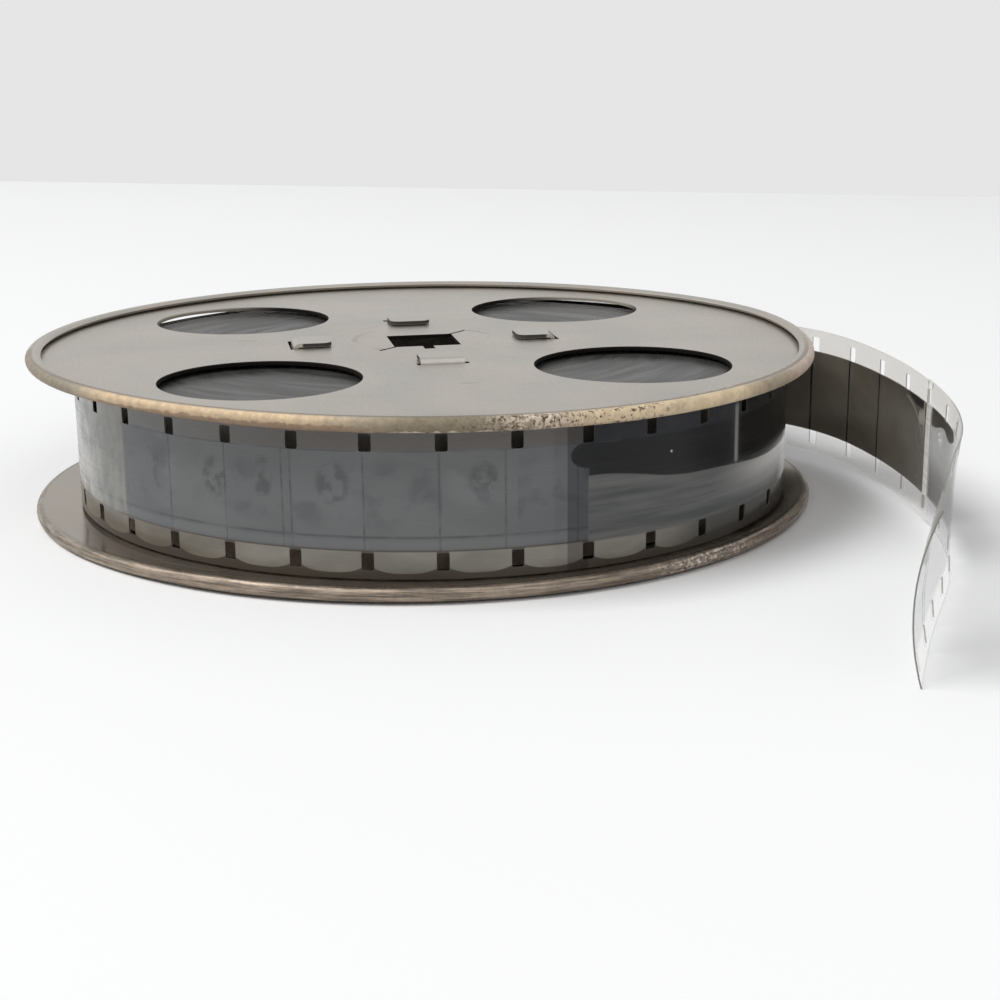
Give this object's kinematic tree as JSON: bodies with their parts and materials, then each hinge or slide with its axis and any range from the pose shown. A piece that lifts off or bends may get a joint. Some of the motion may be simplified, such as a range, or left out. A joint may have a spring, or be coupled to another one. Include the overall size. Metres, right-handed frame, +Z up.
{
  "type": "cine film reel",
  "caption": "Pressed metal cine film reel with rolled rims and round light holes, wound with narrow double perforated film whose loose outer end hangs free.",
  "frame": {"origin": "on the reel's axis, in the plane that the rim of the lower flange stands on", "axes": "+Z up along the spindle axis, from the flange with the round hole to the one with the square hole; +X from the axis to the hub tab nearest the film's free end; +Y to the back, away from the side where the free end finishes"},
  "size_m": [0.1018, 0.1258, 0.0194],
  "materials": {
    "plated_steel": "satin, worn plating",
    "worn_steel": "satin, tarnished",
    "film_edges": "edges of wound film",
    "film_grey": "gloss",
    "film_dark": "gloss",
    "film_clear": "clear base, gloss"
  },
  "bodies": {
    "reel": {"upper_flange": "plated_steel", "lower_flange": "worn_steel", "hub_drum": "plated_steel", "film_start": "film_dark", "film_pack": "film_edges"},
    "strand": {"film_outer_turn": "film_grey", "film_tail": "film_dark", "film_leader": "film_clear"}
  },
  "joints": [
    {"name": "film_unwind", "type": "hinge", "parent": "reel", "child": "strand", "pos_m": [0, 0, 0.0097], "axis": [0, 0, 1], "continuous": true}
  ]
}
